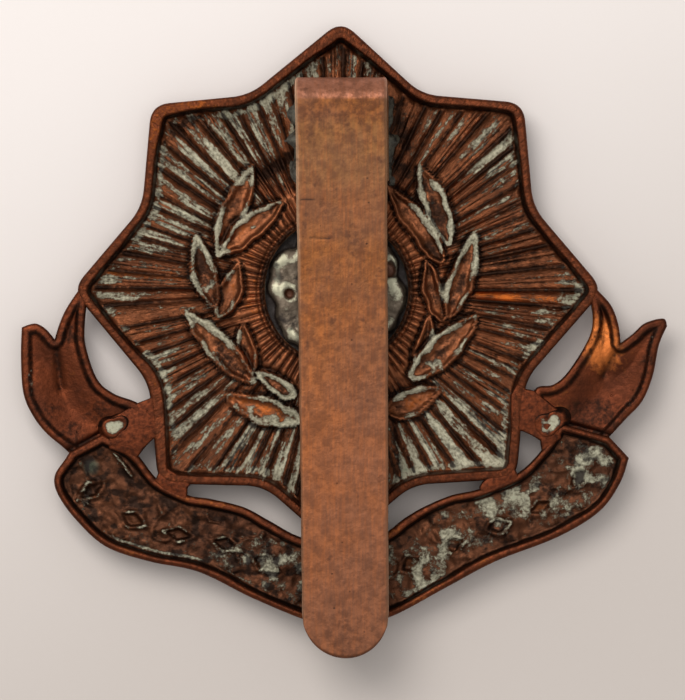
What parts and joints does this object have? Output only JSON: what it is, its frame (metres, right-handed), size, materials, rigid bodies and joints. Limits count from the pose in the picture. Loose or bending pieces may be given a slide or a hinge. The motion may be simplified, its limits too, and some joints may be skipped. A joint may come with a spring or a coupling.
{
  "type": "cap badge",
  "caption": "Die-struck star badge with a laurel wreath, rosette, scroll and ribbon tails, and a brazed slider strip on its back.",
  "frame": {"origin": "centre of the star in the plane of the back rim", "axes": "+Z out of the badge's back towards the cap, +Y to the top of the badge as worn, +X to the right seen from behind; the badge lies on its front"},
  "size_m": [0.0432, 0.042, 0.0062],
  "materials": {
    "gilding_metal": "aged copper brown with pale polish residue and some verdigris",
    "white_metal": "dull grey white metal",
    "slider_brass": "warm brown brass with handling stains",
    "solder": "dull grey solder"
  },
  "bodies": {
    "badge": {"star_plate": "gilding_metal", "centre_rosette": "white_metal", "rosette_solder": "solder", "slider_foot": "slider_brass", "slider_solder": "solder"},
    "tongue": {"slider_tongue": "slider_brass"}
  },
  "joints": [
    {"name": "slider_flex", "type": "hinge", "parent": "badge", "child": "tongue", "pos_m": [0.0004, 0.0119, 0.00285], "axis": [-1, 0, 0], "range_deg": [-3, 4], "stiffness_Nm_per_rad": 3.1}
  ]
}
